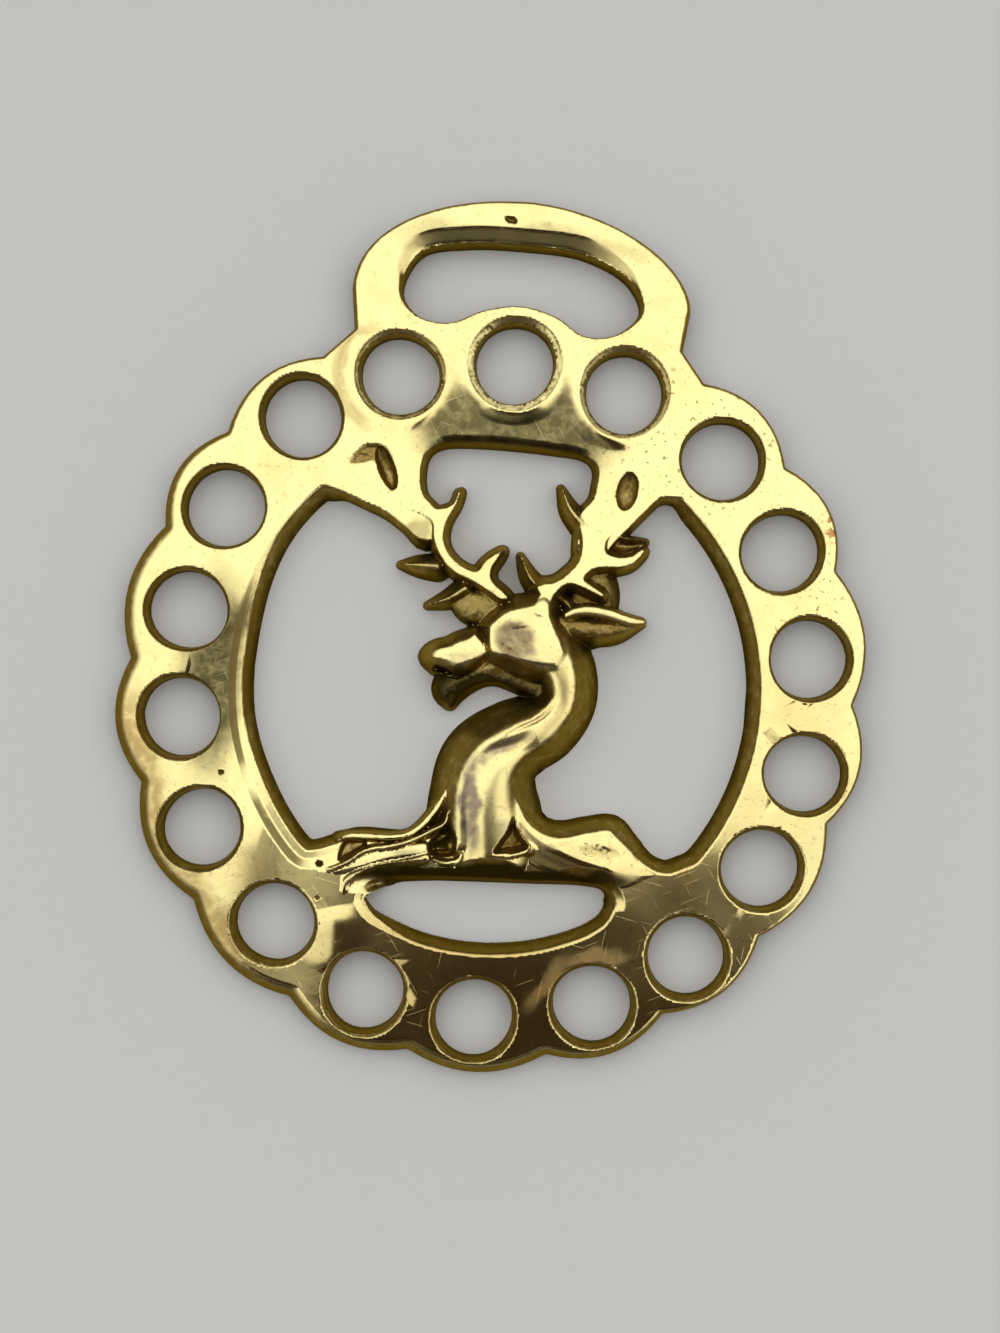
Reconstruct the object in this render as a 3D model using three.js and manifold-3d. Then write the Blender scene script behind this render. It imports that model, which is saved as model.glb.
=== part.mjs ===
// A horse brass: a pierced ring with a scalloped rim, a strap loop on top, and a stag's head
// and neck in relief on a bar across the ring. It is one brass casting with a flat back.
// Millimetres. It lies on its back: +Z is up out of the face, +Y runs to the strap loop.
// The origin is the middle of the box's underside.
import * as THREE from "three";
import { mergeVertices } from "three/addons/utils/BufferGeometryUtils.js";
import Module from "manifold-3d";

const wasm = await Module();
wasm.setup();

// Plate and edges
const PLATE = 3.0; // thickness of the ring, back to polished face
const RIM_ROUND = 1.3; // how far the outer edge rolls in from the outline to the face
const OPENING_DRAFT = 2.2; // slope of the wall of the round opening, seen from above
const BAR_DRAFT = 1.3; // the same on the bar
const PALM_DRAFT = 1.0; // the same on the plate that carries the antlers
const HOLE_ROUND = 0.45; // rounding of the edge of each small hole
const ROUND_STEPS = 3;

// Ring of holes
const HOLES = 18;
const HOLE_DIAMETER = 7.7;
const HOLE_RING_ACROSS = 63.8; // circle of hole centres, measured across
const HOLE_RING_ALONG = 66.0; // and along, towards the loop
const HOLE_SIDES = 20;
// The pattern was laid out by eye. How far each hole sits from its even place, from the top
// one to the left and round: in degrees to the left along the ring, and in mm outwards
const HOLE_STRAY = [0.4, 1.3, 0.1, 0.7, -0.3, -1.4, -1.6, -0.3, 0.1,
  0.4, 1.9, 0.7, 0.9, -0.9, -0.8, -1.3, -1.8, -0.4];
const HOLE_OUT = [-0.3, 0.1, 0.9, 0.5, -0.1, -0.3, 0.4, -0.4, 0.1,
  0.1, 0.3, 0.5, 0.1, 0.3, -0.1, -0.2, -0.1, -0.4];

// Scalloped rim: one lobe outside each hole, except the three that the loop covers
const NOTCH_OUT = 4.6; // a notch, outwards from the ring of hole centres
const NOTCH_STRAY = [1.0, 0.4, -1.8, 0.3, 0.2, -0.3, 0.3, 0.5,
  1.7, 1.1, 1.0, 2.2, 1.8, 2.9, 1.3, -0.8]; // degrees to the left, from the loop's left foot
const RIM_SHIFT = [-0.35, 0.3]; // the rim sits a little off the ring of holes
const LOBE_RISE = 2.1; // a lobe's crown above the line from notch to notch
const LOBE_STEPS = 7;

// Round opening, in which the figure stands
const OPENING_IN = 5.65; // its edge on the face, inwards from the ring of hole centres
const OPENING_SIDES = 64;

// Strap loop
const LOOP_WIDTH = 34.2;
const LOOP_RISE = 16.2; // top of the loop above the centre of the top hole
const LOOP_WAIST = 33.2; // width at the waist, where the loop leaves the ring
const LOOP_ROUND = 10; // height of the loop's round top, from where it is widest
const LOOP_LEG = 4; // from there down to the waist
const SLOT_WIDTH = 23.8;
const SLOT_HEIGHT = 7.6; // at the ends, where it is highest
const LOOP_BAR = 5.0; // the loop's bar above the slot
const LOOP_SHOULDERS = [0.94, 1.12]; // fullness of its left and right shoulder: lower is squarer
const SLOT_DRAFT = 0.9;
const TOP_LOBE = 5.75; // radius of the lobe of the top hole, which shows in the slot

// Figure. Its points are drawn for an opening of 26.8 mm radius and grow with the opening
const FIGURE_DRAWN_FOR = 26.8;
const PALM_ON_RING = 2.2; // how far the palms run on over the ring
const NECK_HEIGHT = 5.4; // crest of the neck above the back
const HEAD_HEIGHT = 5.8;
const JAW_HEIGHT = 2.8;
const EAR_HEIGHT = 4.4;
const ANTLER_HEIGHT = 3.9;
const TINE_HEIGHT = 3.3;
const WEB_HEIGHT = 1.5; // thin metal left between the right antler and the ear
const SHOULDER_HEIGHT = 3.9;
const GROOVE = 0.75; // radius of the groove down the neck

const holeRingX = HOLE_RING_ACROSS / 2;
const holeRingY = HOLE_RING_ALONG / 2;
const openingRadius = (holeRingX + holeRingY) / 2 - OPENING_IN;
const figureScale = openingRadius / FIGURE_DRAWN_FOR;
const holePitch = (2 * Math.PI) / HOLES;
const BELOW = 1; // how far solids run on under the back before it is cut flat
const ABOVE = 2; // how far a drill stands out of the face

// Solids

function solid(geometry) {
  const bare = geometry.clone();
  bare.deleteAttribute("normal");
  bare.deleteAttribute("uv");
  const merged = mergeVertices(bare, 1e-4);
  return new wasm.Manifold(new wasm.Mesh({
    numProp: 3,
    vertProperties: new Float32Array(merged.attributes.position.array),
    triVerts: new Uint32Array(merged.index.array),
  }));
}

// A plate from under the back up to a height, its edge rolled over by a quarter ellipse.
// The outline is the one at the back when grow is 0, and the one on the face when it is 1.
function plate(shape, height, roll, grow) {
  const geometry = new THREE.ExtrudeGeometry(shape, {
    depth: BELOW,
    steps: 1,
    bevelEnabled: true,
    bevelThickness: height,
    bevelSize: roll,
    bevelOffset: grow * roll - roll,
    bevelSegments: ROUND_STEPS,
  });
  geometry.translate(0, 0, -BELOW);
  return solid(geometry).subtract(block(-BELOW / 2));
}

// A block wider than the brass that fills everything below a level
function block(level) {
  const below = new THREE.BoxGeometry(wide, wide, wide);
  below.translate(0, 0, level - wide / 2);
  return solid(below);
}

// A closed outline that runs smoothly through a few points
function smoothShape(points, spacing) {
  const curve = new THREE.CatmullRomCurve3(
    points.map(([x, y]) => new THREE.Vector3(x, y, 0)), true, "centripetal");
  const count = Math.round(curve.getLength() / spacing);
  const around = curve.getSpacedPoints(count).slice(0, -1);
  return new THREE.Shape(around.map((p) => new THREE.Vector2(p.x, p.y)));
}

// Points of the figure, grown with the opening
const drawn = (points) => points.map((p) => p.map((v) => v * figureScale));

// A limb of the relief: a path of stations [x, y, crest half-width, base half-width, height
// share, base half-width on the right if it differs]. Its section is domed over the crest
// and its walls spread to the back. Left and right are those of the path's direction.
function limb(stations, height, steps) {
  const path = new THREE.CatmullRomCurve3(
    stations.map(([x, y]) => new THREE.Vector3(x, y, 0).multiplyScalar(figureScale)));
  const sizes = new THREE.CatmullRomCurve3(
    stations.map(([, , crest, base, share]) => new THREE.Vector3(crest, base, share)));
  const rights = new THREE.CatmullRomCurve3(
    stations.map(([, , , base, , right = base]) => new THREE.Vector3(right, 0, 0)));
  const section = [[0, 1], [0.6, 0.95], [1, 0.76]];
  const sides = 2 * section.length + 1;
  const geometry = new THREE.CylinderGeometry(1, 1, 1, sides, steps);
  const spot = geometry.attributes.position;
  for (let i = 0; i < spot.count; i++) {
    const t = THREE.MathUtils.clamp(spot.getY(i) + 0.5, 0, 1);
    const centre = path.getPoint(t);
    const along = path.getTangent(t);
    const size = sizes.getPoint(t);
    const crest = size.x * figureScale;
    const onRight = spot.getX(i) > 0;
    const base = (onRight ? rights.getPoint(t).x : size.y) * figureScale;
    const top = size.z * height;
    const onAxis = Math.hypot(spot.getX(i), spot.getZ(i)) < 0.5;
    const turn = Math.atan2(spot.getX(i), spot.getZ(i));
    const step = Math.round((turn / (2 * Math.PI)) * sides);
    const side = Math.sign(step);
    const spread = (base - crest) * (BELOW / (0.76 * top));
    let across = side * (base + spread);
    let up = -BELOW;
    if (Math.abs(step) < section.length) {
      across = side * section[Math.abs(step)][0] * crest;
      up = section[Math.abs(step)][1] * top;
    }
    if (onAxis) {
      across = 0;
      up = top / 2;
    }
    spot.setXYZ(i, centre.x + along.y * across, centre.y - along.x * across, up);
  }
  return solid(geometry);
}

// A hollow pressed into the face: a squashed ball, turned about Z
function hollow([x, y], length, width, depth, level, degrees) {
  const ball = new THREE.SphereGeometry(1, 12, 8);
  ball.scale(length / 2, width / 2, depth);
  ball.rotateZ(THREE.MathUtils.degToRad(degrees));
  ball.translate(x * figureScale, y * figureScale, level);
  return solid(ball);
}

function join(pieces) {
  return pieces.reduce((whole, piece) => whole.add(piece));
}

// Ring

// Angle 0 is at the top, and angles turn to the left
const onRing = (angle, out) => [
  -(holeRingX + out) * Math.sin(angle),
  (holeRingY + out) * Math.cos(angle),
];
const holeAngle = (i) => i * holePitch + THREE.MathUtils.degToRad(HOLE_STRAY[i % HOLES]);
const notchAngle = (i) => (holeAngle(i) + holeAngle(i + 1)) / 2
  + THREE.MathUtils.degToRad(NOTCH_STRAY[i - 1]);
const notch = (i) => onRing(notchAngle(i), NOTCH_OUT).map((v, axis) => v + RIM_SHIFT[axis]);

function lobe(from, to) {
  const chord = new THREE.Vector2(to[0] - from[0], to[1] - from[1]);
  const outward = new THREE.Vector2(chord.y, -chord.x).normalize().negate();
  const points = [];
  for (let i = 0; i < LOBE_STEPS; i++) {
    const t = i / LOBE_STEPS;
    const rise = LOBE_RISE * 4 * t * (1 - t);
    points.push([
      from[0] + chord.x * t - outward.x * rise,
      from[1] + chord.y * t - outward.y * rise,
    ]);
  }
  return points;
}

const loopTop = holeRingY + LOOP_RISE;
const halfLoop = LOOP_WIDTH / 2;
const loopLevel = loopTop - LOOP_ROUND; // where the loop is widest
const wide = 8 * loopTop; // wider than the brass, for the blocks and sheets that cut it

// The loop's outside, from its right foot over the top to its left foot
function loopOutside() {
  const points = [];
  const steps = 18;
  for (let i = 0; i <= steps; i++) {
    const a = (Math.PI * i) / steps;
    const fullness = LOOP_SHOULDERS[a > Math.PI / 2 ? 0 : 1];
    points.push([
      halfLoop * Math.sign(Math.cos(a)) * Math.abs(Math.cos(a)) ** fullness,
      loopLevel + (loopTop - loopLevel) * Math.sin(a) ** fullness,
    ]);
  }
  const waist = loopLevel - LOOP_LEG;
  return [[LOOP_WAIST / 2, waist], ...points, [-LOOP_WAIST / 2, waist]];
}

function rimShape() {
  const points = [];
  for (let i = 2; i < HOLES - 1; i++) {
    points.push(...lobe(notch(i - 1), notch(i)));
  }
  points.push(notch(HOLES - 2));
  points.push(...loopOutside());
  return new THREE.Shape(points.map(([x, y]) => new THREE.Vector2(x, y)));
}

// A plate far wider than the brass with one opening in it, which cuts that opening's wall
function around(opening, roll, grow) {
  const sheet = new THREE.Shape();
  const reach = wide / 2;
  sheet.moveTo(-reach, -reach).lineTo(reach, -reach).lineTo(reach, reach).lineTo(-reach, reach);
  sheet.holes.push(opening);
  return plate(sheet, PLATE, roll, grow);
}

function roundOpening() {
  const opening = new THREE.Path();
  const points = [];
  for (let i = 0; i < OPENING_SIDES; i++) {
    const a = (2 * Math.PI * i) / OPENING_SIDES;
    points.push(new THREE.Vector2(openingRadius * Math.cos(a), openingRadius * Math.sin(a)));
  }
  return opening.setFromPoints(points);
}

// The slot for the strap: round ends, a low arch above, the top hole's lobe below
function slotShape() {
  const half = SLOT_WIDTH / 2;
  const top = loopTop - LOOP_BAR;
  const lobeTop = holeRingY + TOP_LOBE;
  const low = top - SLOT_HEIGHT;
  return smoothShape([
    [-half, top - SLOT_HEIGHT / 2 - 1.2],
    [-half * 0.86, top - 1.2],
    [-half * 0.5, top - 0.1],
    [0, top + 0.1],
    [half * 0.5, top - 0.4],
    [half * 0.88, top - 2.6],
    [half, top - SLOT_HEIGHT / 2 - 1.6],
    [half * 0.8, low - 0.1],
    [half * 0.55, low - 0.4],
    [half * 0.32, lobeTop - 0.9],
    [0, lobeTop],
    [-half * 0.32, lobeTop - 0.7],
    [-half * 0.6, low],
    [-half * 0.86, low + 0.5],
  ], 1.5);
}

function smallHole(i) {
  const [x, y] = onRing(holeAngle(i), HOLE_OUT[i]);
  const radius = HOLE_DIAMETER / 2;
  const profile = [
    [0, -BELOW],
    [radius, -BELOW],
    [radius, PLATE - HOLE_ROUND],
    [radius + HOLE_ROUND, PLATE],
    [radius + HOLE_ROUND, PLATE + ABOVE],
    [0, PLATE + ABOVE],
  ].map(([r, z]) => new THREE.Vector2(r, z));
  const drill = new THREE.LatheGeometry(profile, HOLE_SIDES);
  drill.rotateX(Math.PI / 2);
  drill.translate(x, y, 0);
  return solid(drill);
}

// Plate that carries the antlers, across the top of the opening: two palms and the strip
// that joins them
function palmPlate() {
  const onRingArc = [];
  for (let degrees = 37; degrees >= -38; degrees -= 12.5) {
    const a = THREE.MathUtils.degToRad(degrees);
    const reach = openingRadius + PALM_ON_RING;
    onRingArc.push([reach * Math.sin(a), reach * Math.cos(a)]);
  }
  return plate(smoothShape([...drawn([
    [-20.3, 20.2], [-16.8, 18.9], [-14, 17.8], [-12, 17], [-10, 15.7], [-8.6, 14.8],
    [-7.4, 15.8], [-7.2, 17.5], [-8.4, 19], [-8.9, 20.4], [-8.9, 22.4], [-8.4, 24],
    [-7, 25], [-3.5, 25.3], [0, 25.3], [4, 25.1], [7.4, 24.7], [8.9, 23.4],
    [8.9, 21], [8.6, 19.6], [7.6, 18.2], [7.4, 16.6], [8.6, 15.1], [10.2, 15],
    [11.2, 16.2], [12.3, 17.2], [13.6, 18.7], [15.2, 20.3], [18, 20.8],
  ]), ...onRingArc], 1.3), PLATE, PALM_DRAFT, 1);
}

// Bar across the foot of the opening: shoulders above, the crescent slot below
function barPlate() {
  return plate(smoothShape(drawn([
    [-22.2, -17.6], [-20, -18.3], [-18, -19.2], [-16, -19], [-14, -18.1], [-12, -17],
    [-8, -16.2], [-4, -15], [1, -14.3], [5.5, -13.8], [7.5, -14.1], [10.2, -13.6],
    [12.8, -13.1], [14.4, -14.7], [15.6, -16.1], [17, -17], [18.6, -17.3], [20.4, -16.6],
    [22.8, -15.8], [22.6, -18], [19, -22], [15.8, -23.9], [13.6, -22.8], [13.5, -20.6],
    [12.4, -19], [10, -18.4], [5, -18.2], [0, -18.3], [-6, -18.7], [-9.8, -19.3],
    [-11.8, -20.4], [-12.7, -22.4], [-15.5, -24], [-19.5, -21.2],
  ]), 1.5), PLATE, BAR_DRAFT, 1);
}

// Stag

function neck() {
  return limb([
    [1.6, -17.6, 4.6, 5.5, 0.62, 5.2], [0.9, -14.2, 3.9, 6.6, 0.86, 5.5],
    [0.1, -10.6, 3.0, 5.9, 0.98, 4.9], [0.4, -7.8, 2.6, 5.5, 1, 4.4],
    [2.4, -5.2, 2.0, 4.5, 0.98, 3.9], [5.2, -3.2, 1.7, 3.7, 0.96, 3.8],
    [6.9, -0.6, 1.5, 3.4, 0.96, 3.5], [6.6, 2.2, 1.8, 3.1, 1.0, 3.6],
    [4.8, 4.8, 2.4, 3.4, 1.02, 3.8],
  ], NECK_HEIGHT, 18);
}

function head() {
  return limb([
    [6.6, 5.2, 1.6, 2.6, 0.8], [4.9, 5.4, 3.0, 4.0, 0.95], [2.6, 5.4, 3.3, 4.3, 1],
    [0.4, 5.0, 2.4, 3.5, 0.95], [-1.3, 4.2, 1.4, 2.6, 0.82], [-3.4, 3.4, 1.5, 2.6, 0.86],
    [-5.6, 2.9, 1.3, 2.2, 0.8], [-7.4, 2.8, 0.6, 1.2, 0.6],
  ], HEAD_HEIGHT, 14);
}

function jaw() {
  return limb([
    [0.2, 2.6, 1.2, 1.8, 1.1], [-2.6, 1.4, 1.1, 1.7, 1], [-4.4, -0.2, 1.0, 1.6, 0.9],
    [-4.5, -1.8, 0.4, 0.7, 0.7],
  ], JAW_HEIGHT, 6);
}

function ear() {
  const shell = limb([
    [5.0, 7.2, 0.8, 1.8, 0.9], [8.2, 7.7, 1.1, 2.0, 1], [11.6, 7.2, 1.1, 1.9, 0.96],
    [14.4, 8.1, 0.3, 0.7, 0.8],
  ], EAR_HEIGHT, 8);
  return shell.subtract(hollow([10.6, 7.1], 5.6, 1.1, 0.9, EAR_HEIGHT, -4));
}

// One tine: root, middle and tip of its curve, and its half-width at the root
function tine(root, middle, tip, halfWidth, height) {
  return limb([
    [...root, halfWidth, halfWidth + 0.9, 1], [...middle, halfWidth * 0.75, halfWidth + 0.6, 0.95],
    [...tip, 0.15, 0.5, 0.85],
  ], height, 4);
}

function leftAntler() {
  const beam = limb([
    [-8.2, 17.2, 1.1, 2.0, 0.85], [-7.0, 14.6, 0.9, 2.0, 0.95], [-5.2, 12.2, 1.0, 2.0, 1],
    [-2.4, 10.4, 1.1, 2.1, 1], [0.8, 9.0, 1.2, 2.1, 1], [2.6, 7.6, 1.3, 2.0, 1.05],
  ], ANTLER_HEIGHT, 12);
  return join([
    beam,
    tine([-6.9, 16.4], [-5.5, 18.0], [-4.7, 19.9], 0.6, TINE_HEIGHT),
    tine([-6.4, 12.9], [-8.5, 12.7], [-10.4, 11.9], 0.7, TINE_HEIGHT),
    tine([-4.4, 10.9], [-5.6, 9.2], [-7.5, 8.1], 0.8, TINE_HEIGHT),
    tine([-2.8, 10.8], [-1.2, 12.2], [0.1, 14.0], 0.5, TINE_HEIGHT),
  ]);
}

function rightAntler() {
  const beam = limb([
    [8.8, 17.2, 1.2, 2.1, 0.85], [8.2, 14.8, 1.0, 2.0, 0.95], [7.2, 12.6, 1.0, 2.0, 1],
    [5.4, 10.8, 1.1, 2.0, 1], [3.9, 8.6, 1.2, 2.1, 1.05],
  ], ANTLER_HEIGHT, 10);
  return join([
    beam,
    tine([7.8, 16.6], [6.0, 18.4], [5.1, 20.9], 0.6, TINE_HEIGHT),
    tine([8.2, 13.6], [11.2, 14.2], [14.1, 15.1], 0.8, TINE_HEIGHT),
    tine([7.0, 11.8], [8.8, 10.9], [10.3, 9.6], 0.7, TINE_HEIGHT),
    tine([4.6, 10.2], [3.0, 11.6], [1.6, 13.7], 0.5, TINE_HEIGHT),
    limb([[7.2, 12.4, 2.0, 3.0, 1], [8.7, 10.4, 2.2, 3.2, 1], [8.8, 7.6, 2.0, 3.0, 1]],
      WEB_HEIGHT, 4),
  ]);
}

// Shoulders: two ridges on the left, a knob on the right
function shoulders() {
  return join([
    limb([[-1.4, -11.6, 1.0, 2.4, 1], [-4.4, -14.4, 1.0, 2.4, 0.95], [-8.6, -15.6, 0.7, 1.9, 0.82],
      [-14.2, -16.4, 0.5, 1.4, 0.62]], SHOULDER_HEIGHT, 5),
    limb([[-2.6, -16.4, 1.0, 1.9, 0.95], [-9.0, -17.0, 0.9, 1.8, 0.95],
      [-13.6, -18.4, 0.7, 1.6, 0.86], [-16.6, -19.4, 0.4, 1.2, 0.76]], SHOULDER_HEIGHT, 7),
    limb([[3.4, -15.2, 1.6, 2.4, 0.95], [8.6, -15.6, 1.4, 2.0, 0.95],
      [13.0, -15.0, 1.1, 1.9, 0.92], [16.6, -18.2, 0.6, 1.4, 0.78]], SHOULDER_HEIGHT, 8),
  ]);
}

// The groove that parts the two flutes of the neck
function neckGroove() {
  const path = new THREE.CatmullRomCurve3([
    [3.8, -4.6, 1.02], [0.8, -6.6, 1.02], [-1.2, -9.4, 1.0], [-1.4, -12.6, 0.95],
    [-0.8, -16.4, 0.84],
  ].map(([x, y, share]) => new THREE.Vector3(
    x * figureScale, y * figureScale, share * NECK_HEIGHT)));
  const section = new THREE.Shape();
  section.absarc(0, 0, GROOVE, 0, 2 * Math.PI);
  return solid(new THREE.ExtrudeGeometry(section, {
    curveSegments: 8, steps: 12, bevelEnabled: false, extrudePath: path,
  }));
}

// Triangular pits at the foot of the neck
function bustPit(corners) {
  const geometry = new THREE.ExtrudeGeometry(
    new THREE.Shape(drawn(corners).map(([x, y]) => new THREE.Vector2(x, y))),
    { depth: PLATE, bevelEnabled: false });
  geometry.translate(0, 0, PLATE * 0.75);
  return solid(geometry);
}

function casting() {
  const ring = plate(rimShape(), PLATE, RIM_ROUND, 0)
    .intersect(around(roundOpening(), OPENING_DRAFT, 1))
    .intersect(around(slotShape(), SLOT_DRAFT, 0));
  const body = join([
    ring, palmPlate(), barPlate(), shoulders(), neck(), head(), jaw(), ear(),
    leftAntler(), rightAntler(),
  ]);
  const cuts = [];
  for (let i = 0; i < HOLES; i++) cuts.push(smallHole(i));
  cuts.push(
    neckGroove(),
    bustPit([[-3.6, -12.9], [-5.6, -16.1], [-2.4, -16.6]]),
    bustPit([[2.9, -12.6], [1.3, -16.4], [4.7, -15.4]]),
    hollow([-12.2, 21.6], 4.8, 2.6, 1.4, PLATE, -58),
    hollow([-14.6, 22.5], 3.6, 2.0, 0.7, PLATE, 35),
    hollow([11.9, 20.7], 3.8, 2.0, 1.2, PLATE, 82),
    hollow([2.0, 5.5], 3.0, 3.0, 0.35, HEAD_HEIGHT, 0),
  );
  cuts.push(block(0));
  return body.subtract(join(cuts));
}

function meshOf(form) {
  const { numProp, vertProperties, triVerts } = form.getMesh();
  const points = new THREE.InterleavedBuffer(vertProperties, numProp);
  const geometry = new THREE.BufferGeometry();
  geometry.setAttribute("position", new THREE.InterleavedBufferAttribute(points, 3, 0));
  geometry.setIndex(new THREE.BufferAttribute(triVerts, 1));
  return geometry;
}

const geometry = meshOf(casting());
geometry.computeBoundingBox();
const middle = geometry.boundingBox.getCenter(new THREE.Vector3());
geometry.translate(-middle.x, -middle.y, -geometry.boundingBox.min.z);
geometry.computeVertexNormals();

const brass = new THREE.MeshStandardMaterial({
  color: 0xd6b44c, roughness: 0.25, metalness: 1.0,
});
const mesh = new THREE.Mesh(geometry, brass);
mesh.name = "brass_casting";

const group = new THREE.Group();
group.add(mesh);

export default group;
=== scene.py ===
import math

import bpy
import numpy as np
import openvdb
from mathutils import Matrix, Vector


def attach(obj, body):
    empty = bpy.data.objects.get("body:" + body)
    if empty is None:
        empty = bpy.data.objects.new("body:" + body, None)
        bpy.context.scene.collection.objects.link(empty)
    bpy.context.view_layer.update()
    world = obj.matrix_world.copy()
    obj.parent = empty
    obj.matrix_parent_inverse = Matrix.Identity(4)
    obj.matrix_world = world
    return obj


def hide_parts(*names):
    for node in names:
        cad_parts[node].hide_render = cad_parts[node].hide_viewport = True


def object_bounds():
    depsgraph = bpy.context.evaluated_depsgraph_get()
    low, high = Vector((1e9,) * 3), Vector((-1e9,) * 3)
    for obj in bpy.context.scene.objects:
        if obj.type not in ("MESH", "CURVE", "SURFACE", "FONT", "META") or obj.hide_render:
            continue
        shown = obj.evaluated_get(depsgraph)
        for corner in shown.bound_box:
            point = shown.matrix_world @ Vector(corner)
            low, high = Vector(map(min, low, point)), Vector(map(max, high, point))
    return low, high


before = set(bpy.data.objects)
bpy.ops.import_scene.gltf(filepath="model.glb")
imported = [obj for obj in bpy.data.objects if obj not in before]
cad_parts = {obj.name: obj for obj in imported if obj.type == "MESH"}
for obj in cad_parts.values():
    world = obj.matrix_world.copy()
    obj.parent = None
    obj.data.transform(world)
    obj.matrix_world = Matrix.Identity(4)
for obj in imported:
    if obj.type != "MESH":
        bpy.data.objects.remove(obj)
cad_low, cad_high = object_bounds()

# Map of the casting
# The brass is one sand casting with a flat back, so its face is a map of heights: millimetres
# above the back, on a fine square net. The net's origin is the middle of the ring of holes, as
# on the maker's drawing. The sections below raise and cut this map in the order of the pattern.
MM = 0.001
PLATE = 3.0
RIM_LEFT = 37.434
LOOP_TOP = 49.2
RING_X = -RIM_LEFT - cad_low.x / MM
RING_Y = cad_high.y / MM - LOOP_TOP
CELL = 0.06
WEST, EAST, SOUTH, NORTH = -39.0, 39.0, -40.5, 50.7

easts = np.arange(WEST, EAST, CELL, dtype=np.float32)
norths = np.arange(SOUTH, NORTH, CELL, dtype=np.float32)
X, Y = np.meshgrid(easts, norths)

# Ring
# A flat ring 3 mm thick, pierced by eighteen holes, its rim cut in a scallop outside each hole
# but the three under the loop. The holes were laid out by eye, so each strays a little. The rim
# was filed round, more on its left and foot than on its right.
HOLES = 18
HOLE_RADIUS = 3.85
HOLE_RING = (31.9, 33.0)
HOLE_STRAY = [0.4, 1.3, 0.1, 0.7, -0.3, -1.4, -1.6, -0.3, 0.1,
              0.4, 1.9, 0.7, 0.9, -0.9, -0.8, -1.3, -1.8, -0.4]
HOLE_OUT = [-0.3, 0.1, 0.9, 0.5, -0.1, -0.3, 0.4, -0.4, 0.1,
            0.1, 0.3, 0.5, 0.1, 0.3, -0.1, -0.2, -0.1, -0.4]
NOTCH_OUT = 4.6
NOTCH_STRAY = [1.0, 0.4, -1.8, 0.3, 0.2, -0.3, 0.3, 0.5,
               1.7, 1.1, 1.0, 2.2, 1.8, 2.9, 1.3, -0.8]
RIM_SHIFT = (-0.35, 0.3)
LOBE_RISE = 2.1
LOBE_STEPS = 12


def on_ring(angle, out):
    """A point at an angle turned to the left from the top, and mm out from the hole centres."""
    return -(HOLE_RING[0] + out) * math.sin(angle), (HOLE_RING[1] + out) * math.cos(angle)


def hole_angle(i):
    return 2 * math.pi * i / HOLES + math.radians(HOLE_STRAY[i % HOLES])


notches = []
for i in range(1, HOLES - 1):
    turn = (hole_angle(i) + hole_angle(i + 1)) / 2 + math.radians(NOTCH_STRAY[i - 1])
    x, y = on_ring(turn, NOTCH_OUT)
    notches.append((x + RIM_SHIFT[0], y + RIM_SHIFT[1]))
rim = []
for (ax, ay), (bx, by) in zip(notches, notches[1:]):
    length = math.dist((ax, ay), (bx, by))
    for step in range(LOBE_STEPS):
        t = step / LOBE_STEPS
        rise = LOBE_RISE * 4 * t * (1 - t) / length
        rim.append((ax + (bx - ax) * t + (by - ay) * rise, ay + (by - ay) * t - (bx - ax) * rise))
rim.append(notches[-1])

# Strap loop
# The loop that the strap passes through is cast with the ring. Its shoulders are uneven, and
# the strap has worn a long slope along the top of the slot, down to a thin wall.
LOOP_HALF = 17.1
LOOP_RISE = 10
LOOP_LEVEL = LOOP_TOP - LOOP_RISE
LOOP_FOOT = 16.6
LOOP_LEG = 4
LOOP_SHOULDERS = (0.94, 1.12)
LOOP_STEPS = 60
LOOP_BAR = 5.0
SLOT_HALF = 11.9
SLOT_HEIGHT = 7.6
TOP_LOBE = 5.75


def ease(value, low, high):
    """0 below low, 1 above high, smooth between them."""
    t = np.clip((value - low) / (high - low), 0, 1)
    return t * t * (3 - 2 * t)


def smooth_line(points, spacing, closed=False):
    """A smooth line through a few points. Any numbers after x and y change smoothly with it."""
    p = np.array(points, float)
    ends = (p[-1:], p[:2]) if closed else (2 * p[:1] - p[1:2], 2 * p[-1:] - p[-2:-1])
    p = np.vstack([ends[0], p, ends[1]])
    parts = []
    for a, b, c, d in zip(p, p[1:], p[2:], p[3:]):
        ab, bc, cd = (math.dist(u[:2], v[:2]) ** 0.5 for u, v in ((a, b), (b, c), (c, d)))
        leave = (b - a) * bc / ab - (c - a) * bc / (ab + bc) + (c - b)
        arrive = (c - b) - (d - b) * bc / (bc + cd) + (d - c) * bc / cd
        steps = max(1, round(bc * bc / spacing))
        t = np.arange(steps)[:, None] / steps
        parts.append((2 * t**3 - 3 * t**2 + 1) * b + (t**3 - 2 * t**2 + t) * leave
                     + (3 * t**2 - 2 * t**3) * c + (t**3 - t**2) * arrive)
    if not closed:
        parts.append(p[-2:-1])
    return np.vstack(parts)


def stretch(a, b, reach):
    """The cells near one short stretch: how far along it, how far from it, and on its right."""
    rows = slice(max(0, int((min(a[1], b[1]) - reach - SOUTH) / CELL)),
                 max(0, int((max(a[1], b[1]) + reach - SOUTH) / CELL) + 2))
    cols = slice(max(0, int((min(a[0], b[0]) - reach - WEST) / CELL)),
                 max(0, int((max(a[0], b[0]) + reach - WEST) / CELL) + 2))
    x, y = X[rows, cols] - a[0], Y[rows, cols] - a[1]
    dx, dy = b[0] - a[0], b[1] - a[1]
    t = np.clip((x * dx + y * dy) / (dx * dx + dy * dy), 0, 1)
    return (rows, cols), t, np.hypot(x - t * dx, y - t * dy), x * dy - y * dx > 0


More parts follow.
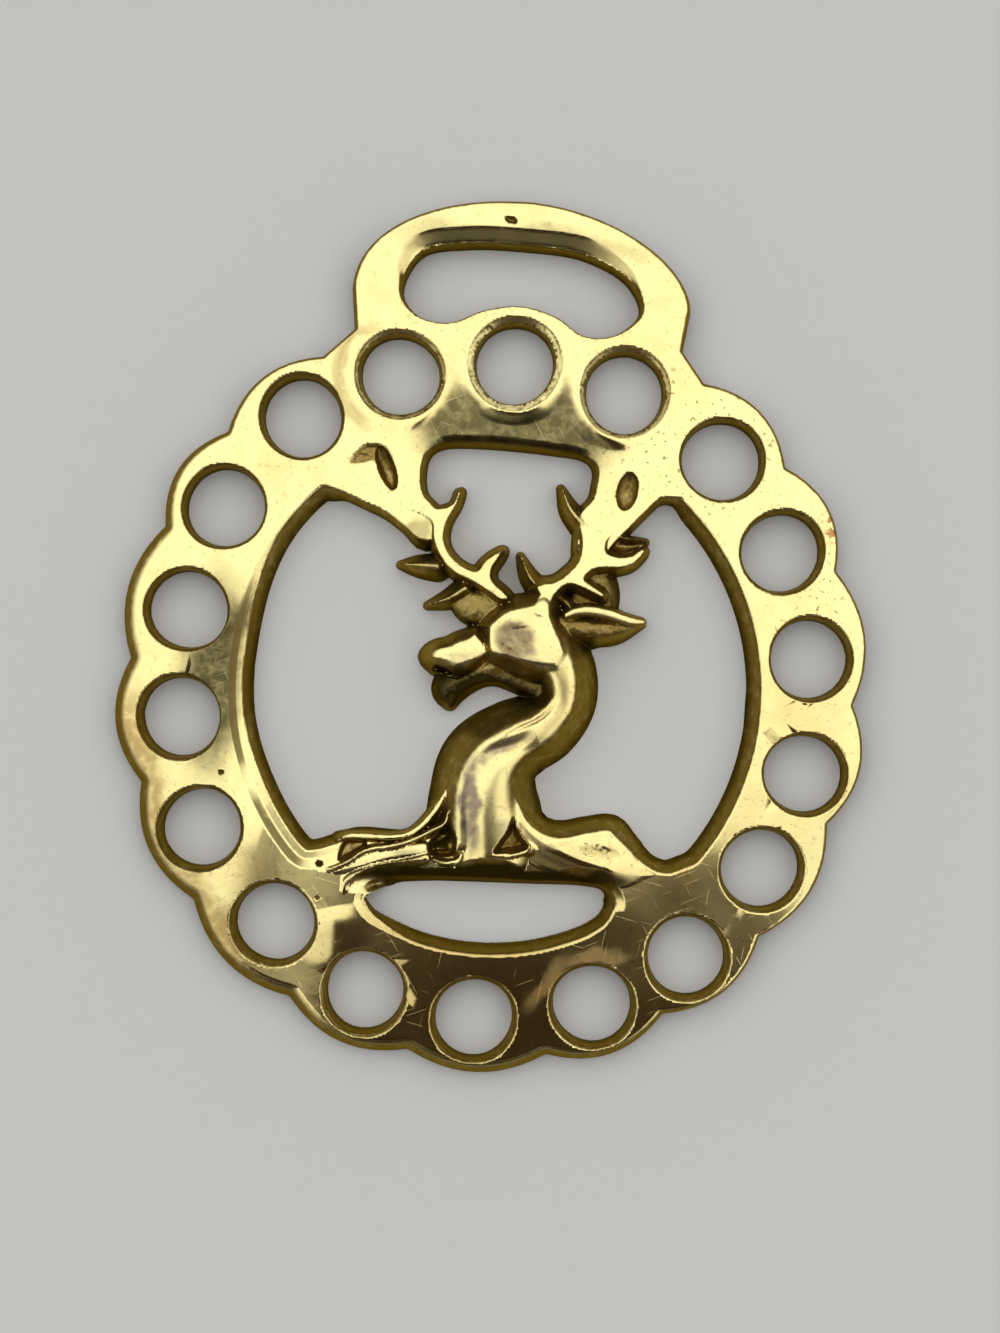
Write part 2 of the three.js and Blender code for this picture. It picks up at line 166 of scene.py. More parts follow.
def inward(outline, reach=5.0):
    """How far inside a closed outline each cell is. It is negative outside."""
    gap = np.full(X.shape, reach, np.float32)
    turns = np.zeros((X.shape[0], X.shape[1] + 1), np.int32)
    for a, b in zip(outline, np.roll(outline, -1, axis=0)):
        near, _, away, _ = stretch(a, b, reach)
        gap[near] = np.minimum(gap[near], away)
        low, high = sorted((a[1], b[1]))
        rows = np.nonzero((norths >= low) & (norths < high))[0]
        cross = a[0] + (norths[rows] - a[1]) * (b[0] - a[0]) / ((b[1] - a[1]) or 1)
        np.add.at(turns, (rows, np.ceil((cross - WEST) / CELL).astype(int)), 1)
    inside = np.cumsum(turns, axis=1)[:, :-1] % 2 == 1
    return np.where(inside, gap, -gap)


rim.append((LOOP_FOOT, LOOP_LEVEL - LOOP_LEG))
for step in range(LOOP_STEPS + 1):
    a = math.pi * step / LOOP_STEPS
    full = LOOP_SHOULDERS[0 if a > math.pi / 2 else 1]
    across = math.copysign(abs(math.cos(a)) ** full, math.cos(a))
    rim.append((LOOP_HALF * across, LOOP_LEVEL + LOOP_RISE * max(0, math.sin(a)) ** full))
rim.append((-LOOP_FOOT, LOOP_LEVEL - LOOP_LEG))
rim_gap = inward(np.array(rim))

slot_top = LOOP_TOP - LOOP_BAR
slot_low = slot_top - SLOT_HEIGHT
lobe_top = HOLE_RING[1] + TOP_LOBE
slot = smooth_line([
    (-SLOT_HALF, slot_top - 5.0), (-SLOT_HALF * 0.86, slot_top - 1.2),
    (-SLOT_HALF * 0.5, slot_top - 0.1), (0, slot_top + 0.1),
    (SLOT_HALF * 0.5, slot_top - 0.4), (SLOT_HALF * 0.88, slot_top - 2.6),
    (SLOT_HALF, slot_top - 5.4), (SLOT_HALF * 0.8, slot_low - 0.1),
    (SLOT_HALF * 0.55, slot_low - 0.4), (SLOT_HALF * 0.32, lobe_top - 0.9),
    (0, lobe_top), (-SLOT_HALF * 0.32, lobe_top - 0.7),
    (-SLOT_HALF * 0.6, slot_low), (-SLOT_HALF * 0.86, slot_low + 0.5),
], 0.6, closed=True)
slot_gap = -inward(slot)

# The rim is rounded wide on the left and at the foot, and crisp on the right and round the loop
ROUND_LEAST = 0.55
ROUND_MORE = 1.05
RIM_FALL = 14
lean = -0.75 * X / 38 - 0.65 * Y / 38
roll = ROUND_LEAST + ROUND_MORE * ease(lean, -0.1, 0.65)
along = np.clip(rim_gap / roll, 0, 1)
ring = PLATE * np.sqrt(np.clip(1 - (1 - along) ** 2, 0, 1)) + np.minimum(rim_gap, 0) * RIM_FALL

# The strap's wear: a slope 1.8 mm wide above the slot, narrower on the right and fading down
# both ends
WORN_LEAST = 0.12
WORN_WIDTH = 1.7
WORN_DEPTH = 0.42
SLOT_WALL = 0.25
SLOT_FALL = 10
worn = WORN_LEAST + WORN_WIDTH * ease(Y, 39.5, 43.5) * (1 - 0.55 * ease(X, 6, 12))
past_wall = slot_gap - SLOT_WALL
slope = WORN_DEPTH * (1 - ease(past_wall / worn, -0.1, 1.1))
ring = np.minimum(ring, np.where(slot_gap < SLOT_WALL, slot_gap * SLOT_FALL, PLATE - slope))

# Palms and bar
# The round opening is bridged twice: at the top by the two palms that carry the antlers, and at
# the foot by the bar that carries the bust. Its edge has a filed slope and a thin lip, broad on
# the left and between the palms and crisp elsewhere, and the cast wall runs down to the back.
OPENING = 26.8
CORNER = 0.3
BRIDGE_REACH = 4.0


def soft_max(a, b, k):
    """The higher of two heights, with a fillet about k wide where they meet."""
    h = np.clip(0.5 + 0.5 * (a - b) / k, 0, 1)
    return b + (a - b) * h + k * h * (1 - h)


def lumps(size, seed):
    """Smooth random lumps about size mm across, from -1 to 1."""
    dice = np.random.default_rng(seed)
    u, v = (X - WEST) / size, (Y - SOUTH) / size
    grid = dice.uniform(-1, 1, (int(v.max()) + 2, int(u.max()) + 2)).astype(np.float32)
    i, j = v.astype(int), u.astype(int)
    fu, fv = u - j, v - i
    fu, fv = fu * fu * (3 - 2 * fu), fv * fv * (3 - 2 * fv)
    low = grid[i, j] * (1 - fu) + grid[i, j + 1] * fu
    high = grid[i + 1, j] * (1 - fu) + grid[i + 1, j + 1] * fu
    return low * (1 - fv) + high * fv


palms = inward(smooth_line([
    (-20.3, 20.2), (-16.8, 18.9), (-14, 17.8), (-12, 17), (-10, 15.7), (-8.5, 14.6),
    (-7.2, 14.6), (-7.0, 17.3), (-8.5, 18.9), (-8.9, 20.2), (-8.9, 22.2), (-8.5, 23.8),
    (-7, 24.9), (-3.5, 25.3), (0, 25.3), (4, 25.1), (7.6, 24.6), (8.9, 23.4),
    (8.9, 21), (8.6, 19.6), (7.5, 18.2), (7.4, 16.6), (7.6, 14.2), (9.6, 13.9),
    (10.9, 15.6), (12.3, 17.2), (13.6, 18.7), (15.2, 20.3), (18, 20.8),
    (17.5, 23), (12, 26.5), (6, 28.4), (0, 28.8), (-6, 28.4), (-12, 26.5), (-18, 22.8),
], 0.6, closed=True), BRIDGE_REACH)
bar = inward(smooth_line([
    (-22.2, -17.6), (-20, -18.3), (-18, -19.2), (-16, -19), (-14, -18.1), (-12, -17),
    (-8, -16.2), (-4, -15), (1, -14.3), (5.5, -13.8), (7.5, -14.1), (10.2, -13.6),
    (12.8, -13.1), (14.4, -14.7), (15.6, -16.1), (17, -17), (18.6, -17.3), (20.4, -16.6),
    (22.8, -15.8), (23.2, -19), (18, -24), (10, -28), (0, -29.2), (-10, -28), (-18, -24), (-23, -19.5),
], 0.6, closed=True), BRIDGE_REACH)
crescent = inward(smooth_line([
    (-12.6, -21.8), (-12, -20.7), (-10, -19.6), (-6, -19.2), (0, -18.95), (5, -18.85), (10, -18.7),
    (12.4, -19.0), (13.4, -19.9), (13.6, -21), (13, -22.5), (11.5, -23.8), (9, -25), (5, -26.2),
    (0, -26.7), (-5, -26.2), (-9, -24.9), (-11.5, -23.6),
], 0.6, closed=True), BRIDGE_REACH)
radius = np.hypot(X, Y)
into = -soft_max(soft_max(radius - OPENING, palms, CORNER), bar, CORNER)
into = np.maximum(into, crescent)

# How wide the slope, its lip and the wall below are, in mm, each varied by place
on_left = ease(-X, 6, 17) * ease(-Y, -16, -2)
at_foot = ease(-Y, 12, 18)
on_top = ease(Y, 22, 24.5) * ease(-np.abs(X), -11, -8)
slope_width = 0.22 + 0.85 * on_left + 0.55 * on_top
lip_width = 0.05 + 0.5 * on_left + 0.35 * on_left * ease(-Y, 3, 12)
drop = 0.08 + 0.26 * on_left + 0.2 * on_top
wall_width = 1.05 - 0.65 * ease(Y, 12, 15) * ease(-np.abs(X), -18, -16) - 0.2 * on_left
level = PLATE - drop * ease(into / slope_width, 0, 1)
past = soft_max(into - slope_width - lip_width, 0 * into, 0.3 - 0.16 * np.maximum(at_foot, on_left))
level = level - past * (PLATE - drop) / wall_width
ring = np.minimum(ring, level)

# Long, weak waves that buffing leaves, a fall of the ring's inner half on the left, and a dish
# between the three top holes and the antlers, which leaves a raised ring round each hole
face = 0.06 * lumps(13, 3) + 0.035 * lumps(6.5, 4)
inner_fall = 0.05 * soft_max(31.3 - radius, 0 * X, 1.0) * ease(-X, 22, 26) * ease(-np.abs(Y + 5), -13, -8)
dish = 0.06 * soft_max(31.5 - Y, 0 * X, 2.5) * ease(-np.abs(X - 0.6), -12.5, -6.5) * ease(Y, 19, 23)
for i in (0, 1, HOLES - 1):
    x, y = on_ring(hole_angle(i), HOLE_OUT[i])
    dish = dish * ease(np.hypot(X - x, Y - y), HOLE_RADIUS + 0.8, HOLE_RADIUS + 2.4)
land = ring + (face - inner_fall - dish) * ease(ring, 1.6, 2.9)

# Stag's head and neck
# The stag stands in relief on the bar, looking to the left, its antlers grown into the palms.
# The crests were buffed flat and bright, and the walls between them stay as they left the sand.
NECK = 5.4
HEAD = 5.6
JAW = 2.8
EAR = 4.4
ANTLER = 3.9
TINE = 3.3
WEB = 1.5
SHOULDER = 3.9
UNDER = -9.0
rough_cast = np.zeros(X.shape, np.float32)


def limb(stations, height, dome=0.16, power=4, fillet=0.35, rough=0.0):
    """Raises a limb along stations (x, y, crest half-width, base half-width, share of height).

    A sixth number is the base's half-width on the right of the path where it isn't the same.
    """
    global land, rough_cast
    line = smooth_line([s if len(s) == 6 else (*s, s[3]) for s in stations], 0.18)
    lift = np.full(X.shape, UNDER, np.float32)
    for a, b in zip(line, line[1:]):
        near, t, gap, right = stretch(a, b, max(a[3], a[5], b[3], b[5]) + 1.2)
        crest, left_base, share, right_base = (a[i] + (b[i] - a[i]) * t for i in (2, 3, 4, 5))
        base = np.where(right, right_base, left_base)
        top = share * height
        wall = (1 - dome) * (base - gap) / np.maximum(base - crest, 0.1)
        cap = 1 - dome * (gap / np.maximum(crest, 0.05)) ** power
        lift[near] = np.maximum(lift[near], top * np.where(gap < crest, cap, wall))
    covered = ease(lift - land, -0.05, 0.1)
    rough_cast = rough_cast * (1 - covered) + rough * covered
    land = soft_max(land, lift, fillet)


def boss(outline, top, spread, edge=0.5, tilt=(0, 0), rough=0.0):
    """Raises a flat-topped form: outline of its top, and how far its walls spread below."""
    global land, rough_cast
    shape = smooth_line(outline, 0.4, closed=True)
    gap = inward(shape, 3.5)
    middle = shape[:, :2].mean(axis=0)
    plane = top + tilt[0] * (X - middle[0]) + tilt[1] * (Y - middle[1])
    lift = plane - soft_max(-gap, 0 * gap, edge) * top / spread
    lift = np.where(gap <= -3.4, UNDER, lift)
    covered = ease(lift - land, -0.05, 0.1)
    rough_cast = rough_cast * (1 - covered) + rough * covered
    land = soft_max(land, lift, 0.3)


limb([
    (0.8, -16.2, 3.7, 5.0, 0.78, 4.2), (0.3, -14.0, 3.6, 6.1, 0.88, 5.6),
    (-0.3, -10.6, 3.2, 5.5, 0.98, 5.3), (0.1, -7.8, 2.8, 5.2, 1.0, 4.7),
    (2.2, -5.2, 2.2, 4.3, 0.98, 4.1), (5.1, -3.2, 1.9, 3.6, 0.96, 3.9),
    (6.9, -0.6, 1.6, 3.4, 0.96, 3.5), (6.6, 2.2, 1.8, 3.1, 1.0, 3.6),
    (4.8, 4.8, 2.4, 3.4, 1.02, 3.8),
], NECK, 0.24, 4)
boss([(-5.6, -16.8), (-4.2, -15.9), (-2.2, -15.0), (0.2, -15.2), (2.6, -15.2), (5.0, -14.8), (5.6, -15.6),
      (4.6, -16.3), (3, -16.6), (0, -16.7), (-3, -16.9), (-5.0, -17.2)], SHOULDER * 1.05, 1.8,
     0.5 + 1.0 * ease(-Y, 15.6, 17))
boss([(-1.1, 6.3), (-0.4, 7.2), (0.4, 7.9), (1.6, 8.4), (2.8, 8.7), (3.5, 9.1), (4.2, 9.5), (5.0, 9.0),
      (5.1, 7.9), (5.7, 6.6), (6.4, 5.2), (6.9, 3.8), (7.0, 2.6), (6.4, 1.9), (5.2, 1.7), (4, 1.8),
      (3, 2.0), (2, 2.3), (1, 2.7), (0.1, 2.9), (-0.8, 3.5), (-1.05, 4.6)],
     HEAD, 1.5, 0.5 + 1.1 * ease(-Y, -4.4, -2.4), (0.03, -0.05))
boss([(-7.2, 2.7), (-6.8, 3.5), (-6.0, 4.0), (-5, 4.3), (-4, 4.9), (-3, 5.3), (-2.3, 5.8), (-1.8, 5.4),
      (-1.0, 4.5), (-0.7, 3.6), (-1.4, 2.3), (-2.3, 1.6), (-3.2, 1.1), (-4.2, 1.0), (-5.2, 1.4),
      (-6.4, 1.9)],
     HEAD * 0.82, 0.85, 0.6 + 0.9 * ease(-Y, -3.9, -2.3), (0.05, -0.07))
limb([(-2.6, 1.3, 1.0, 1.5, 0.9), (0.0, 1.9, 1.1, 1.6, 1.0), (2.6, 1.2, 1.0, 1.6, 1.0),
      (4.6, 0.4, 0.9, 1.6, 1.0)], JAW * 0.9, rough=0.9)
limb([
    (0.2, 2.6, 1.2, 1.8, 1.1), (-2.6, 1.2, 1.1, 1.7, 1.0), (-4.5, -0.1, 1.2, 1.9, 0.9),
    (-4.4, -1.6, 0.6, 0.9, 0.7),
], JAW, 0.3, 2, rough=0.9)
limb([(-6.3, 1.5, 0.12, 0.5, 1), (-4.9, 1.15, 0.14, 0.6, 1), (-3.7, 1.0, 0.12, 0.5, 1)],
     JAW * 1.2, rough=0.2)

# Ear
# The ear is a leaf with a raised, buffed upper edge and a rough hollow below it.
limb([
    (6.2, 6.9, 0.9, 1.8, 0.95), (8.5, 6.8, 0.9, 1.8, 1.0), (11.4, 6.9, 0.8, 1.7, 0.98),
    (14.2, 7.7, 0.3, 0.7, 0.9),
], EAR * 0.86, 0.12, 3, rough=1.0)
limb([
    (6.7, 7.9, 0.36, 0.8, 0.95), (7.5, 8.3, 0.45, 0.9, 1.0), (8.9, 8.5, 0.52, 1.0, 1.03),
    (10.8, 8.3, 0.52, 1.0, 1.02), (12.6, 7.85, 0.48, 0.9, 1.0), (14.3, 7.75, 0.28, 0.6, 0.9),
], EAR * 1.05, 0.06, 4, 0.1)


# Antlers
# Each antler is a beam with short tines. They were cut with a small round gouge in the pattern,
# and they keep the grain of the sand. Thin webs of metal are left in the corners between them.
def tine(root, middle, tip, half_width, height=TINE, rough=0.8):
    limb([(*root, half_width, half_width + 0.8, 1.0),
          (*middle, half_width * 0.75, half_width + 0.5, 0.97),
          (*tip, 0.18, 0.5, 0.86)], height, 0.3, 2, 0.25, rough)


limb([(9.2, 11.9, 1.3, 2.2, 1.0), (9.2, 10.4, 1.9, 2.8, 1.0), (8.8, 7.6, 2.0, 3.0, 1.0)],
     WEB * 1.2, rough=1.0)
limb([(-4.2, 8.6, 0.7, 1.1, 0.9), (-2.6, 8.2, 1.5, 2.0, 1.0), (-1.2, 8.3, 1.4, 1.9, 1.1)],
     WEB * 1.6, rough=0.9)
limb([(5.7, 9.8, 0.4, 0.9, 0.9), (6.5, 9.3, 0.55, 1.0, 1.0), (7.2, 8.5, 0.4, 0.9, 1.0)],
     TINE * 0.95, 0.3, 2, rough=1.0)
tine((-6.6, 11.9), (-8.4, 11.9), (-10.3, 11.9), 0.7, rough=0.6)
tine((-3.6, 9.9), (-5.2, 8.8), (-7.3, 8.0), 0.6, TINE * 1.03, 0.5)
tine((7.6, 17.2), (6.3, 18.6), (5.3, 20.7), 0.62, rough=0.4)
tine((4.2, 10.0), (2.7, 11.6), (1.7, 13.6), 0.55, TINE * 1.1, 0.7)
limb([(11.0, 15.3, 0.7, 1.2, 0.95), (12.3, 15.2, 0.6, 1.1, 0.95), (13.8, 15.6, 0.25, 0.6, 0.85)],
     TINE * 0.72, 0.3, 2, rough=1.0)
limb([(10.8, 16.2, 0.15, 0.5, 0.86), (12.3, 16.0, 0.15, 0.55, 0.9), (14.2, 15.9, 0.1, 0.45, 0.85)],
     TINE, 0.2, 3, 0.2, 0.7)

# The left beam with its first tine and a crown tine, then the right beam with its two outer tines
boss([(-11.5, 18.0), (-10.0, 19.6), (-8.9, 19.2), (-7.2, 17.8), (-6.2, 17.9), (-5.4, 18.4),
      (-5.0, 19.6), (-4.7, 19.7),
      (-5.0, 18.2), (-5.5, 17.2), (-5.9, 16.2), (-6.05, 15), (-5.8, 14), (-5.3, 13.2), (-4.4, 12.4),
      (-3.4, 11.9), (-2.5, 11.8), (-2.1, 12.5), (-1.2, 13.4), (-0.1, 14.0), (-0.5, 13.0), (-1.0, 12.2),
      (-1.1, 11.4), (-0.8, 10.7), (0.1, 10.0), (0.8, 9.2), (0.2, 8.9), (-1.3, 9.7), (-3.0, 10.6),
      (-4.3, 11.1), (-5.4, 11.8), (-6.3, 12.8), (-6.95, 13.9), (-7.25, 15), (-7.4, 16.2), (-8.4, 16.9)],
     ANTLER * 0.91, 0.6, 0.22, (0.08, -0.09))
boss([(7.9, 18.6), (10.4, 18.2), (10.9, 16.6), (10.2, 15.5), (10.3, 14.5), (11.5, 14.15), (12.8, 14.4),
      (13.8, 15.2), (14.15, 15.0), (13.0, 13.5), (11.5, 12.95), (10, 12.85), (9.2, 12.7), (8.6, 12.3),
      (8.2, 11.7), (9.0, 11.1), (10.3, 10.3), (10.2, 9.9), (9.0, 10.3), (7.4, 10.9), (6.4, 10.9),
      (5.7, 10.3), (5.2, 9.5), (5.0, 8.5), (5.0, 7.6), (3.4, 7.8), (3.4, 9.0), (3.8, 9.8), (3.4, 10.5),
      (4, 10.9), (5, 11.1), (5.9, 11.6), (6.6, 12.3), (7.2, 13), (7.6, 14), (7.7, 15), (7.5, 16.2),
      (7.3, 17.2)],
     ANTLER * 1.02, 0.8, 0.22, (-0.10, -0.20))

# Shoulders
# The bust's left side is four ridges that run out along the bar. Its right side is one
# smooth flank that tapers to a point and slopes down to the crescent.
limb([(-4.0, -10.4, 0.25, 1.5, 0.82, 0.8), (-5.2, -12.6, 0.28, 1.4, 0.88, 0.7),
      (-6.4, -14.1, 0.3, 1.3, 0.94, 0.6), (-7.6, -15.0, 0.32, 1.2, 0.98, 0.5),
      (-9.2, -15.4, 0.34, 1.2, 1.0, 0.5),
      (-11.6, -15.45, 0.34, 1.2, 0.97, 0.5), (-13.6, -15.6, 0.3, 1.1, 0.88, 0.5),
      (-14.6, -16.1, 0.2, 0.8, 0.7)],
     SHOULDER, 0.06, 4, 0.15)
limb([(-6.0, -16.6, 0.9, 1.6, 1.0), (-8.6, -17.0, 1.0, 1.7, 0.98), (-11.4, -17.9, 0.9, 1.6, 0.94),
      (-13.6, -18.7, 0.6, 1.3, 0.84), (-15.6, -19.4, 0.4, 1.2, 0.68)], SHOULDER * 0.93, 0.08)
limb([(-3.7, -12.4, 0.14, 0.5, 0.96), (-4.0, -13.6, 0.16, 0.6, 1.0), (-5.0, -14.3, 0.2, 0.6, 1.0),
      (-6.5, -15.2, 0.22, 0.7, 1.0), (-8.0, -15.9, 0.26, 0.7, 1.02), (-9.5, -16.35, 0.28, 0.7, 1.02),
      (-11, -16.65, 0.26, 0.7, 1.0), (-12, -17.05, 0.22, 0.7, 0.97), (-13.2, -18.0, 0.2, 0.7, 0.92),
      (-14.9, -18.9, 0.2, 0.7, 0.8), (-16.2, -19.3, 0.2, 0.6, 0.68)], SHOULDER * 1.05, 0.06, 4, 0.12)
limb([(-5.6, -17.2, 0.4, 1.4, 1.0), (-7.6, -17.9, 0.45, 1.4, 1.0), (-10, -18.5, 0.45, 1.4, 0.97),
      (-12, -19.2, 0.42, 1.3, 0.9), (-13.4, -20.1, 0.4, 1.1, 0.82), (-13.7, -21.6, 0.3, 0.9, 0.7)],
     SHOULDER, 0.08, 4, 0.2)
below = ease(-Y - 0.35 * X, 11.4, 13.0)
boss([(2.2, -8.6), (3.2, -10.8), (4.5, -13.0), (6.3, -14.1), (8, -14.1), (10.2, -13.5), (12.6, -13.1),
      (13.4, -13.8), (14.9, -15.1), (16.0, -16.6), (17.6, -17.5), (15.8, -17.9), (12, -17.7),
      (9.6, -17.2), (7.6, -16.5), (5.6, -15.6), (3.8, -14.2), (2.8, -12.6), (1.6, -10.6)],
     SHOULDER * 1.02 - 0.85 * ease(X, 12.5, 17.5), 1.4 + 3.2 * below, 0.35 + 0.6 * below, (-0.05, -0.02))


# Cuts
# The small holes, the pits beside the antlers and at the foot of the neck, the flute down the
# neck and the marks of wear are cut last, and thin lips stand round the pits at its foot. The
# holes have a filed slope round their upper edge.
HOLE_BEVEL = [0.95, 0.75, 0.55, 0.5, 0.5, 0.55, 0.55, 0.6, 0.65,
              0.6, 0.6, 0.6, 0.55, 0.5, 0.5, 0.5, 0.5, 0.8]
GRAIN_DEPTH = 0.09


def profile(distance, points, soft=0.12):
    """Heights read off a section drawn with a few points, its corners eased over soft mm."""
    p = np.array(points, float)
    fine = np.arange(p[0, 0] - 1, p[-1, 0] + 1, 0.02)
    level = np.interp(fine, p[:, 0], p[:, 1])
    past = fine > p[-1, 0]
    last = (p[-1, 1] - p[-2, 1]) / (p[-1, 0] - p[-2, 0])
    level[past] = p[-1, 1] + (fine[past] - p[-1, 0]) * last
    width = max(1, round(soft / 0.02)) | 1
    bell = np.hanning(width + 2)
    pad = width // 2 + 1
    eased = np.convolve(np.pad(level, pad, mode="edge"), bell / bell.sum(), mode="valid")
    return np.interp(distance, fine, eased[:len(fine)]).astype(np.float32)


def flute(points, width, depth):
    """A rounded groove along a line, or a low ridge where the depth is negative.

    Each point is x, y and its share of the depth.
    """
    global land
    nearest = np.full(X.shape, 3 * width, np.float32)
    share = np.zeros(X.shape, np.float32)
    line = smooth_line(points, 0.25)
    for a, b in zip(line, line[1:]):
        near, t, gap, _ = stretch(a, b, width * 3)
        closer = gap < nearest[near]
        nearest[near] = np.where(closer, gap, nearest[near])
        share[near] = np.where(closer, a[2] + (b[2] - a[2]) * t, share[near])
    land = land - depth * share * np.exp(-(nearest / width) ** 2)


def pit(x, y, length, width, depth, degrees, edge=0.6, rough=1.0):
    """An oval hollow, turned about its middle."""
    global land, rough_cast
    a = math.radians(degrees)
    along = ((X - x) * math.cos(a) + (Y - y) * math.sin(a)) / (length / 2)
    across = ((Y - y) * math.cos(a) - (X - x) * math.sin(a)) / (width / 2)
    bowl = np.clip(1 - along ** 2 - across ** 2, 0, 1) ** edge
    land = land - depth * bowl
    rough_cast = np.maximum(rough_cast, rough * ease(bowl, 0, 0.25))


def socket(corners, depth, wall, rough=1.0):
    """A pit with this outline and a flat floor."""
    global land, rough_cast
    gap = inward(smooth_line(corners, 0.3, closed=True), 3.0)
    bowl = ease(gap, -0.05, wall)
    land = land - depth * bowl
    rough_cast = np.maximum(rough_cast, rough * ease(gap, 0, 0.2))


# Below the bust the metal falls away to the crescent
under = profile(crescent, [(-4, PLATE + 4), (-1.8, PLATE + 1.0), (0, PLATE - 1.0),
                           (0.5, 0), (0.8, -1.5)], 0.4)
above_slot = np.maximum(ease(Y, -21.3, -19.1), crescent > 1.1)
land = land - above_slot * np.maximum(land - under, 0) * (crescent > -3.9)

flute([(4.4, -4.1, 0.0), (2.7, -5.1, 0.7), (-0.4, -6.6, 1), (-1.6, -9, 1), (-1.8, -12, 1), (-1.3, -16, 0.9),
       (-0.8, -17.4, 0.2)], 1.0, 0.48)
socket([(-3.7, -13.5), (-4.8, -14.8), (-5.6, -15.9), (-5.3, -16.9), (-4.0, -17.1), (-2.8, -16.7),
        (-2.7, -15.4), (-3.1, -14.2)], 1.6, 0.5)
limb([(-4.6, -16.2, 0.35, 0.8, 0.95), (-3.8, -16.1, 0.35, 0.8, 1.0)], SHOULDER * 0.92, 0.4, 2, 0.15, 0.4)
limb([(-4.8, -17.3, 0.2, 0.5, 0.9), (-3.7, -17.55, 0.3, 0.6, 1.0), (-2.4, -17.2, 0.32, 0.6, 1.0),
      (-2.1, -16.5, 0.2, 0.5, 0.95)], SHOULDER * 1.12, 0.1, 4, 0.12)
socket([(2.8, -12.4), (2.2, -13.9), (1.0, -16.2), (2.6, -16.1), (4.5, -15.5), (3.4, -14.0)], 1.6, 0.6)
limb([(0.9, -16.6, 0.24, 0.5, 0.95), (2.4, -16.45, 0.3, 0.6, 1.0), (4.1, -15.9, 0.24, 0.5, 1.0),
      (4.6, -15.4, 0.14, 0.4, 0.97), (3.6, -14.1, 0.1, 0.35, 0.97), (3.0, -12.8, 0.08, 0.3, 0.95)],
     SHOULDER * 1.14, 0.1, 4, 0.12)
socket([(-14.0, -16.2), (-11.6, -16.1), (-11.9, -16.7), (-13.0, -17.5), (-14.4, -18.2)], 0.9, 0.4, 0.8)
socket([(-16.1, 21.6), (-15.2, 23.2), (-13.8, 23.8), (-12.3, 23.4), (-11.5, 22), (-11.2, 20),
        (-11.6, 18.9), (-12.6, 20.2), (-13.6, 21.9), (-14.8, 21.6)], 0.22, 0.5)
pit(-12.3, 21.4, 4.6, 1.7, 0.95, -66)
pit(11.9, 20.7, 3.9, 2.1, 0.9, 82)
pit(1.5, 5.1, 4.4, 4.2, 0.1, 0, 1.6, 0.4)
pit(1.2, 4.1, 2.2, 0.5, 0.1, -28, 1.2, 0.7)
pit(2.0, 6.2, 2.6, 0.5, 0.08, 12, 1.2, 0.3)
pit(11.6, -15.3, 4.6, 1.3, 0.03, -6, 1.0, 0.4)
pit(-16.25, -18.55, 0.7, 0.6, 0.8, 0)
socket([(-2.4, 6.2), (-1.0, 6.2), (-0.85, 4.9), (-0.75, 3.9), (-1.3, 4.6), (-1.9, 5.3)], 0.9, 0.4, 0.5)
flute([(6.2, -0.4, 0.2), (5.4, -1.9, 1), (4.3, -2.8, 1), (2.8, -3.6, 0.8), (1.2, -4.6, 0.1)], 0.22, 0.22)
pit(-1.6, 47.0, 1.3, 0.6, 0.5, -15)
x, y = on_ring(hole_angle(1), HOLE_OUT[1])
flute([(x + 5.9 * math.cos(math.radians(a)), y + 5.9 * math.sin(math.radians(a)), share_here)
       for a, share_here in ((135, 0), (155, 0.6), (175, 1), (200, 1), (222, 1), (240, 0.5), (255, 0))],
      0.4, 0.16)
pit(-26.7, -10.1, 0.5, 0.4, 0.3, 0)
pit(-16.2, -22.0, 0.5, 0.4, 0.3, 0)
flute([(-14.7, -22.8, 0), (-14.4, -24.0, 1), (-14.2, -26.0, 1), (-14.3, -28.2, 1),
       (-14.6, -29.6, 0)], 1.9, -0.075)
for i in range(HOLES):
    x, y = on_ring(hole_angle(i), HOLE_OUT[i])
    turn = np.arctan2(Y - y, X - x)
    wobble = 0.05 * np.sin(2 * turn + 2.1 * i) + 0.03 * np.sin(3 * turn + i * i)
    gap = np.hypot(X - x, Y - y) - HOLE_RADIUS - wobble
    bevel = HOLE_BEVEL[i]
    section = profile(gap, [(-0.4, -6), (-0.05, -0.5), (0, 0), (0.18, PLATE - 0.42),
                            (bevel, PLATE), (bevel + 0.1, 9)], 0.14)
    near = gap < bevel + 0.1
    land[near] = np.minimum(land[near], section[near])

# The sand's grain on what was never buffed
grain = 0.5 * lumps(0.55, 11) + 0.5 * lumps(0.28, 12)
slope_y, slope_x = np.gradient(land, CELL)
steep = ease(np.hypot(slope_x, slope_y), 0.45, 1.1)
raw = np.maximum(rough_cast, 0.55 * steep) * ease(land, 0.0, 0.4)
land = land + GRAIN_DEPTH * raw * grain

# Skin
# The map becomes one closed skin with a flat back: first in even steps, then fewer and larger
# triangles where it is flat, and each point is then set on the exact surface.
VOXEL = 3
STEP = VOXEL * CELL
TRIANGLES = 190000
TOP_LEVEL = 7
BACK_BAND = 0.45
EDGE_BAND = 1.2
ROUNDS = 5
PULL = 0.8
PULL_LIMIT = 0.3
SIDE_LIMIT = 0.1
slope_y, slope_x = np.gradient(land, CELL)


def read(field, x, y):
    """The value of a map at any points."""
    u = np.clip((x - WEST) / CELL, 0, X.shape[1] - 1.001)
    v = np.clip((y - SOUTH) / CELL, 0, X.shape[0] - 1.001)
    j, i = u.astype(int), v.astype(int)
    fu, fv = u - j, v - i
    return ((field[i, j] * (1 - fu) + field[i, j + 1] * fu) * (1 - fv)
            + (field[i + 1, j] * (1 - fu) + field[i + 1, j + 1] * fu) * fv)


